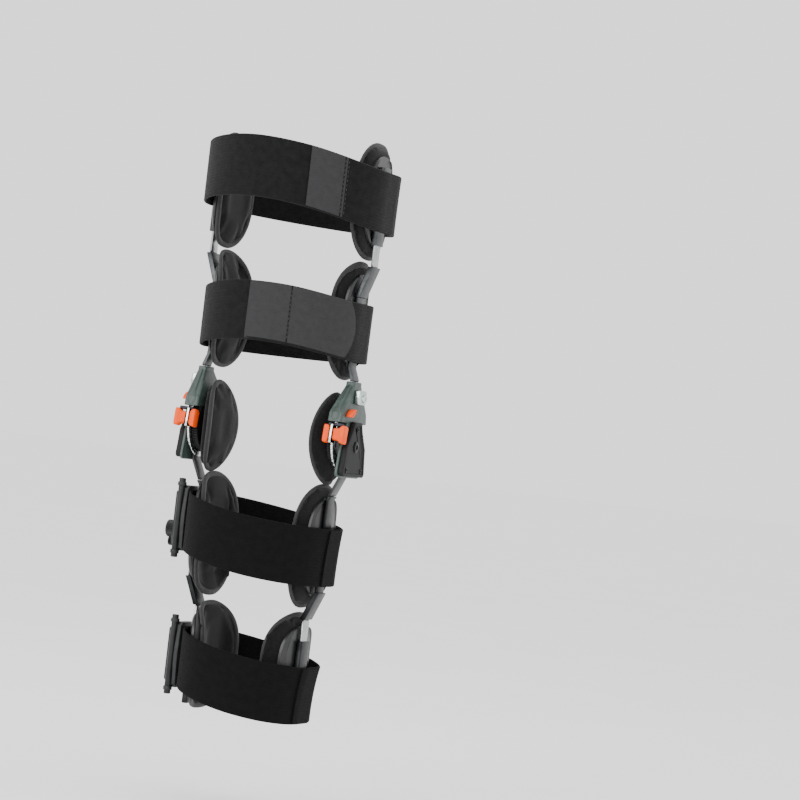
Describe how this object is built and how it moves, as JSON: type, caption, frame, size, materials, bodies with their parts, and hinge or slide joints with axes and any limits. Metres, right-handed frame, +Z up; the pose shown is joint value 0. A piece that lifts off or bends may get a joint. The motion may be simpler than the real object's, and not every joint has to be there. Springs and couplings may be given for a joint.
{
  "type": "post-surgery knee brace",
  "caption": "Long-leg knee brace: telescoping uprights with lockable hinges and angle stops, padded shells beside the leg, and wide elastic straps with buckles.",
  "frame": {"origin": "on the knee axis, midway between the two hinges, inside the leg's hollow", "axes": "+Z up along the leg, -Y to the front of the leg, +X to its inner (medial) side; the knee axis is the X axis"},
  "size_m": [0.2112, 0.189, 0.597],
  "materials": {
    "elastic": "matt woven elastic with a soft nap",
    "webbing": "brushed hook-and-loop webbing",
    "foam": "foam pad in brushed knit with a bound edge",
    "shell": "moulded satin plastic",
    "bar": "black powder coat",
    "aluminium": "bead-blasted and anodised grey",
    "steel": "polished",
    "housing": "grey-green moulded plastic",
    "cover": "dark grey textured plastic",
    "stop": "orange moulded plastic",
    "buckle": "black moulded plastic",
    "frame": "mid-grey moulded plastic",
    "lock": "bright plated metal"
  },
  "bodies": {
    "thigh_frame": {"thigh_lower_strap": "elastic", "thigh_lower_turned_end": "webbing", "thigh_lower_shell_medial": "shell", "thigh_lower_shell_lateral": "shell", "thigh_lower_pad_medial": "foam", "thigh_lower_pad_lateral": "foam", "thigh_lower_buckle_frame": "frame", "thigh_lower_buckle_lever": "buckle", "thigh_rail_medial": "aluminium", "thigh_rail_lateral": "aluminium", "thigh_arm_medial": "housing", "thigh_arm_lateral": "housing", "hinge_disc_medial": "steel", "hinge_disc_lateral": "steel", "hinge_pivot_medial": "steel", "hinge_pivot_lateral": "steel", "inner_cover_medial": "cover", "inner_cover_lateral": "cover", "outer_cover_medial": "cover", "outer_cover_lateral": "cover", "hinge_lock_medial": "lock", "hinge_lock_lateral": "lock", "condyle_pad_medial": "foam", "condyle_pad_lateral": "foam"},
    "thigh_cuff": {"thigh_upper_strap": "elastic", "thigh_upper_turned_end": "webbing", "thigh_upper_shell_medial": "shell", "thigh_upper_shell_lateral": "shell", "thigh_upper_pad_medial": "foam", "thigh_upper_pad_lateral": "foam", "thigh_upper_buckle_frame": "frame", "thigh_upper_buckle_lever": "buckle", "thigh_sleeve_medial": "aluminium", "thigh_sleeve_lateral": "aluminium"},
    "shank_frame": {"calf_upper_strap": "elastic", "calf_upper_turned_end": "webbing", "calf_upper_shell_medial": "shell", "calf_upper_shell_lateral": "shell", "calf_upper_pad_medial": "foam", "calf_upper_pad_lateral": "foam", "calf_upper_buckle_frame": "frame", "calf_upper_buckle_lever": "buckle", "calf_rail_medial": "aluminium", "calf_rail_lateral": "aluminium", "shank_arm_medial": "bar", "shank_arm_lateral": "bar"},
    "shank_cuff": {"calf_lower_strap": "elastic", "calf_lower_turned_end": "webbing", "calf_lower_shell_medial": "shell", "calf_lower_shell_lateral": "shell", "calf_lower_pad_medial": "foam", "calf_lower_pad_lateral": "foam", "calf_lower_buckle_frame": "frame", "calf_lower_buckle_lever": "buckle", "calf_sleeve_medial": "aluminium", "calf_sleeve_lateral": "aluminium"},
    "extension_stop_inner": {"extension_stop_medial": "stop"},
    "extension_stop_outer": {"extension_stop_lateral": "stop"},
    "flexion_stop_inner": {"flexion_stop_medial": "stop"},
    "flexion_stop_outer": {"flexion_stop_lateral": "stop"}
  },
  "joints": [
    {"name": "knee_flexion", "type": "hinge", "parent": "thigh_frame", "child": "shank_frame", "pos_m": [0, 0, 0], "axis": [1, 0, 0], "range_deg": [0, 90]},
    {"name": "thigh_length", "type": "slide", "parent": "thigh_frame", "child": "thigh_cuff", "axis": [0, 0, 1], "range_m": [-0.003, 0.04]},
    {"name": "calf_length", "type": "slide", "parent": "shank_frame", "child": "shank_cuff", "axis": [0, 0, -1], "range_m": [-0.005, 0.04]},
    {"name": "extension_stop_medial_setting", "type": "hinge", "parent": "thigh_frame", "child": "extension_stop_inner", "pos_m": [0, 0, 0], "axis": [1, 0, 0], "range_deg": [0, 10]},
    {"name": "extension_stop_lateral_setting", "type": "hinge", "parent": "thigh_frame", "child": "extension_stop_outer", "pos_m": [0, 0, 0], "axis": [1, 0, 0], "range_deg": [0, 10]},
    {"name": "flexion_stop_medial_setting", "type": "hinge", "parent": "thigh_frame", "child": "flexion_stop_inner", "pos_m": [0, 0, 0], "axis": [1, 0, 0], "range_deg": [-36, 0]},
    {"name": "flexion_stop_lateral_setting", "type": "hinge", "parent": "thigh_frame", "child": "flexion_stop_outer", "pos_m": [0, 0, 0], "axis": [1, 0, 0], "range_deg": [-36, 0]}
  ]
}
